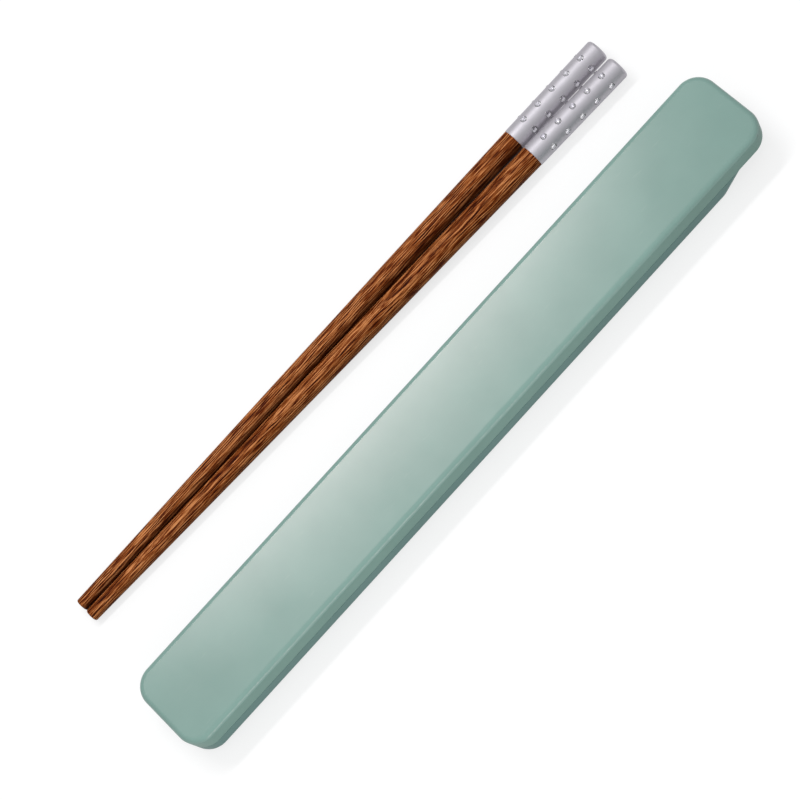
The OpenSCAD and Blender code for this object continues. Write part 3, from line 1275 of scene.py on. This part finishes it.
@dataclass
class Chopstick:
    """One chopstick: a tapered wooden shaft, a metal cap and rows of stones set in the cap."""

    GRAIN = "grain"
    HEART = "heart"
    POLISH = "polish"
    # The lathe steps across one seat, and on the whole turn for each row of stones
    SEAT_STEPS = 6
    ROW_STEPS = 12
    # Where the lathe's profile has points along a seat, in shares of the seat's reach
    SEAT_POINTS = (-1.0, -0.5, 0.0, 0.5, 1.0)

    side: Side
    stick: StickSizes
    lay: PairLay
    case_half_width: float
    # Angles in degrees: of the whole stick, and of its grain and its painted shade, about its own axis
    roll: float
    grain_turn: float
    # Where along the grain the stick was cut, in metres
    grain_start: float
    turn_steps: int = 64

    @property
    def matrix(self) -> Matrix:
        """Gives the matrix that lays the chopstick down."""
        return self.lay.matrix(self.stick, self.side, self.case_half_width)

    @property
    def body(self) -> str:
        """Gives the name of the body that the pieces ride on."""
        return f"{self.side.word}_chopstick"

    @property
    def seat_half_turn(self) -> float:
        """Gives half the angle round the cap of the patch that a seat is cut from."""
        return math.pi * self.SEAT_STEPS / (self.ROW_STEPS * self.stick.rows)

    def row_turn(self, row: int) -> float:
        """Gives the angle in radians of a row of stones, from 0, round the standing chopstick."""
        return math.pi + math.radians(self.roll) + 2 * math.pi * row / self.stick.rows

    def shaft(self) -> BMesh:
        """Turns the wooden shaft, marks its grain and the side that is darkened as painted shade, and lays it
        down.

        Returns:
            The mesh.
        """
        stick = self.stick
        arc_r = stick.wood_r(stick.tip_round) - stick.tip_round
        tip = quarter_arc((arc_r, stick.tip_round), stick.tip_round, -90, stick.tip_steps)
        stations = [stick.station(i) for i in range(1, stick.taper_steps + 1)]
        taper = [(stick.wood_r(s), s) for s in stations]
        tenon_r = stick.bore_r - stick.tenon_fit
        tenon_end = stick.wood_length + stick.bore_depth - stick.tenon_fit
        tenon = [(tenon_r, stick.wood_length), (tenon_r, tenon_end), (0.0, tenon_end)]
        bm = bmesh.new()
        turn_profile(bm, [(0.0, 0.0), *tip, *taper, *tenon], self.turn_steps)
        grain = bm.verts.layers.float_vector.new(self.GRAIN)
        heart = bm.verts.layers.float.new(self.HEART)
        turned = Matrix.Rotation(math.radians(self.grain_turn), 3, "Z")
        for vert in bm.verts:
            across = turned @ vert.co
            vert[grain] = Vector((vert.co.z + self.grain_start, across.x, across.y))
            # Painted shade: 1 on the side that the wood material darkens, -1 on the opposite side
            vert[heart] = across.x / max(across.xy.length, NEAR_ENOUGH)
        bm.transform(self.matrix)
        return bm

    def cap(self) -> BMesh:
        """Turns the cap, sinks a seat for each stone and lays it down.

        Returns:
            The mesh.
        """
        stick = self.stick
        start, end = stick.wood_length, stick.length
        bore_end = start + stick.bore_depth
        bore = [(0.0, bore_end), (stick.bore_r, bore_end), (stick.bore_r, start)]
        lip = [(stick.cap_r - stick.cap_lip, start), (stick.cap_r, start + stick.cap_lip)]
        stones = [stick.stone_height(i) for i in range(stick.stones)]
        wall = [(stick.cap_r, z + stick.seat_reach * share) for z in stones for share in self.SEAT_POINTS]
        arc_middle = (stick.cap_r - stick.cap_round, end - stick.cap_round)
        edge = quarter_arc(arc_middle, stick.cap_round, 0, stick.cap_round_steps)
        bm = bmesh.new()
        bm.faces.layers.float.new(self.POLISH)
        turn_profile(bm, [*bore, *lip, *wall, *edge, (0.0, end)], self.ROW_STEPS * stick.rows)
        first = self.seat_half_turn
        for row in range(stick.rows):
            for height in stones:
                self.sink_seat(bm, first + 2 * math.pi * row / stick.rows, height)
        bmesh.ops.recalc_face_normals(bm, faces=bm.faces)
        bm.transform(self.matrix @ Matrix.Rotation(self.row_turn(0) - first, 4, "Z"))
        return bm

    def sink_seat(self, bm: BMesh, turn: float, height: float) -> None:
        """Cuts one round seat, a cone with a small flat floor, into the cap's round wall.

        Args:
            bm: The cap's mesh, standing upright.
            turn: Angle of the seat round the cap.
            height: Height of the seat's middle.
        """
        stick = self.stick
        back = Matrix.Rotation(-turn, 3, "Z")
        forth = back.inverted()
        patch = []
        for face in bm.faces:
            spot = back @ face.calc_center_median()
            near = abs(spot.z - height) < stick.seat_reach
            near = near and abs(math.atan2(spot.y, spot.x)) < self.seat_half_turn
            if near and spot.xy.length > stick.bore_r + stick.cap_wall / 2:
                patch.append(face)
        whole = bmesh.ops.dissolve_faces(bm, faces=patch)["region"]
        bmesh.ops.inset_individual(bm, faces=whole, thickness=stick.seat_fit, use_even_offset=True)
        seat_r = stick.stone_r + stick.seat_fit
        for vert in whole[0].verts:
            spot = back @ vert.co
            out = Vector((spot.y, spot.z - height)).normalized() * seat_r
            vert.co = forth @ Vector((math.sqrt(stick.cap_r**2 - out.x**2), out.x, height + out.y))
        polish = bm.faces.layers.float[self.POLISH]
        face = whole[0]
        floor = stick.seat_floor
        for depth, share in ((floor + stick.stone_back, 1.0), (floor, stick.stone_culet_r / stick.stone_r)):

            def sunk(place: Vector) -> Vector:
                """Moves a corner of the seat's edge down to one depth, and in to one share of the radius."""
                spot = back @ place
                return forth @ Vector((depth, spot.y * share, height + (spot.z - height) * share))

            face = push(bm, face, sunk)
            for edge in face.edges:
                for wall in edge.link_faces:
                    wall[polish] = 1.0

    def stone(self) -> BMesh:
        """Cuts one stone: a pointed back, a girdle and a crown of broad and narrow facets.

        Returns:
            The mesh, standing on its back at the origin.
        """
        stick = self.stick
        bm = bmesh.new()
        bmesh.ops.create_circle(bm, cap_ends=True, segments=stick.stone_sides, radius=stick.stone_r)
        bmesh.ops.scale(bm, vec=Vector((1, 1, 1)) * (stick.stone_culet_r / stick.stone_r), verts=bm.verts)
        face = bm.faces[:][0]
        for index, (radius, high) in enumerate((
            (stick.stone_r, stick.stone_back),
            (stick.stone_r, stick.girdle),
            (stick.stone_table_r, stick.girdle + stick.stone_crown),
        )):
            def grown(place: Vector) -> Vector:
                """Moves a corner out or in to one radius, at one height."""
                return (place.xy.normalized() * radius).to_3d() + Vector((0, 0, high))

            face = push(bm, face, grown, keep=index == 0)
        crown = []
        for edge in bm.edges:
            low, high = sorted(v.co.z for v in edge.verts)
            if high - low > NEAR_ENOUGH and low > stick.girdle - NEAR_ENOUGH:
                crown.append(edge)
        bevel(bm, crown, stick.stone_facet, 1)
        bmesh.ops.recalc_face_normals(bm, faces=bm.faces)
        return bm

    def stone_row(self, row: int) -> BMesh:
        """Cuts one row of stones and sets them in their seats.

        Args:
            row: The row, from 0.

        Returns:
            The mesh.
        """
        stick = self.stick
        whole = bmesh.new()
        turned = Matrix.Rotation(self.row_turn(row), 4, "Z")
        outwards = Matrix.Rotation(math.pi / 2, 4, "Y")
        for index in range(stick.stones):
            bm = self.stone()
            place = Matrix.Translation((stick.seat_floor + stick.stone_lift, 0, stick.stone_height(index)))
            bm.transform(self.matrix @ turned @ place @ outwards)
            join(whole, bm)
        return whole

    def build(self, wood: Material, metal: Material, glass: Material) -> None:
        """Builds and dresses the shaft, the cap and the stones.

        Args:
            wood: Finish of the shaft.
            metal: Finish of the cap.
            glass: Finish of the stones.
        """
        word = self.side.word
        shaft = make_piece(self.shaft(), f"{word}_wood_shaft", Shading.TURNED)
        seat_piece(shaft, [wood], self.body, f"{word}_shaft")
        cap = make_piece(self.cap(), f"{word}_metal_cap", Shading.TURNED)
        seat_piece(cap, [metal], self.body, f"{word}_cap")
        for row in range(self.stick.rows):
            stones = make_piece(self.stone_row(row), f"{word}_stones_{row + 1}", Shading.FACETED)
            seat_piece(stones, [glass], self.body, f"{word}_crystal_row_{row + 1}")


# Studio


@dataclass(frozen=True)
class SoftLamp:
    """An oval soft lamp that looks at a place on the table."""

    name: str
    place: Triple
    aim: Triple
    size: Pair
    power: float

    def build(self) -> None:
        """Adds the lamp to the scene."""
        data = bpy.data.lights.new(self.name, "AREA")
        data.shape = "ELLIPSE"
        data.size, data.size_y = self.size
        data.energy = self.power
        lamp = bpy.data.objects.new(self.name, data)
        lamp.visible_camera = False
        lamp.location = self.place
        lamp.rotation_euler = (Vector(self.aim) - Vector(self.place)).to_track_quat("-Z", "Y").to_euler()
        bpy.context.scene.collection.objects.link(lamp)


@dataclass
class Studio:
    """Camera, lamps, world and floor."""

    aim: Vector
    lamps: list[SoftLamp]
    floor: PaleFloor
    distance: float = 759.2 * MM
    # Angles in degrees: from straight down, round the upright axis, and about the line of sight
    tilt: float = 22.593
    swing: float = -0.128
    roll: float = -47.5
    # In millimetres, as cameras have them
    lens: float = 111.627
    sensor: float = 36.0
    # The nearest and the furthest that the camera sees, in metres
    sight: Pair = (0.01, 50.0)
    floor_size: float = 8.0
    floor_drop: float = 0.05 * MM
    sky: float = 0.96
    sky_tint: Triple = (0.98, 0.985, 1.0)
    # Height of a direction, and the share of the sky's light that comes from there
    sky_shares: tuple[Pair, ...] = ((0.0, 0.42), (0.4, 0.56), (0.75, 0.64), (1.0, 1.0))

    def add_camera(self) -> None:
        """Adds the camera that looks along the photograph's line of sight."""
        data = bpy.data.cameras.new("camera")
        data.lens = self.lens
        data.sensor_width = self.sensor
        data.clip_start, data.clip_end = self.sight
        camera = bpy.data.objects.new("camera", data)
        swing = Matrix.Rotation(math.radians(self.swing), 4, "Z")
        tilt = Matrix.Rotation(math.radians(self.tilt), 4, "X")
        roll = Matrix.Rotation(math.radians(self.roll), 4, "Z")
        back = Matrix.Translation((0, 0, self.distance))
        camera.matrix_world = Matrix.Translation(self.aim) @ swing @ tilt @ back @ roll
        bpy.context.scene.collection.objects.link(camera)
        bpy.context.scene.camera = camera

    def add_world(self) -> None:
        """Adds the even light of the room, which is brighter overhead than near the horizon."""
        world = bpy.data.worlds.new("room")
        world.use_nodes = True
        graph = Graph(world.node_tree)
        direction = graph.add("TexCoord").outputs["Generated"]
        height = graph.add("SeparateXYZ", Vector=direction).outputs["Z"]
        stops = ((place, scaled(self.sky_tint, share)) for place, share in self.sky_shares)
        light = graph.add("Background", Color=graph.ramp(height, stops), Strength=self.sky)
        graph.add("OutputWorld", Surface=light.outputs[0])
        bpy.context.scene.world = world

    def add_floor(self) -> None:
        """Adds the table top, which isn't part of the object."""
        bm = bmesh.new()
        bmesh.ops.create_grid(bm, x_segments=1, y_segments=1, size=self.floor_size / 2)
        bmesh.ops.translate(bm, vec=(0, 0, -self.floor_drop), verts=bm.verts)
        table = make_piece(bm, "table_top", Shading.FACETED)
        table.data.materials.append(self.floor.material())

    def build(self) -> None:
        """Builds the whole studio."""
        bpy.context.scene.view_settings.view_transform = "Standard"
        self.add_camera()
        self.add_world()
        self.add_floor()
        for lamp in self.lamps:
            lamp.build()


def main() -> None:
    """Builds the case, the chopsticks and the studio."""
    logging.basicConfig(level=logging.INFO, format="%(name)s: %(message)s")
    effects = SharedEffects()
    sizes = CaseSizes()
    stick = StickSizes()
    lay = PairLay()

    lid_top = SatinPlastic("sage_lid", srgb(128, 162, 153), roughness=0.21, specular=0.5)
    # The skirt is the lid's plastic darkened as painted shade
    lid_skirt_shaded = SatinPlastic("sage_skirt_painted_shade", srgb(117, 151, 141))
    Lid(sizes, lid_top, lid_skirt_shaded).build(effects)
    # The tray's outside is the plastic darkened further, as painted shade
    tray_outside_shaded = SatinPlastic("sage_tray_painted_shade", srgb(97, 130, 125))
    # The inside takes the skirt's colour, which is darkened as painted shade
    tray_inside = SatinPlastic("sage_tray_inside", srgb(117, 151, 141))
    Tray(sizes, tray_outside_shaded, tray_inside).build(effects, stick)

    wood = OiledWood("dark_wood").material()
    metal = SatinMetal("satin_aluminium", (0.58, 0.56, 0.597)).material(effects)
    glass = CutGlass("cut_glass").material()
    # grain_turn also turns each stick's painted shade, into the groove on the far stick and underneath on the
    # near one
    for side, roll, grain_turn, grain_start in (
        (Side.FAR, -11.0, 84.0, 0.0),
        (Side.NEAR, -4.0, 14.0, 0.31),
    ):
        chopstick = Chopstick(side, stick, lay, sizes.half_width, roll, grain_turn, grain_start)
        chopstick.build(wood, metal, glass)

    Studio(
        aim=Vector((-7.69, 18.88, 0.0)) * MM,
        lamps=[
            SoftLamp(
                "key", place=(-0.008, 0.3, 0.615), aim=(-0.005, 0.013, 0.015), size=(0.41, 0.05), power=1.75
            ),
            SoftLamp(
                "fill", place=(-0.08, -0.28, 0.066), aim=(-0.06, -0.015, 0.013), size=(0.36, 0.06), power=0.35
            ),
        ],
        floor=PaleFloor("white_table", shade=0.32, glow=0.71),
    ).build()


if __name__ == "__main__":
    main()
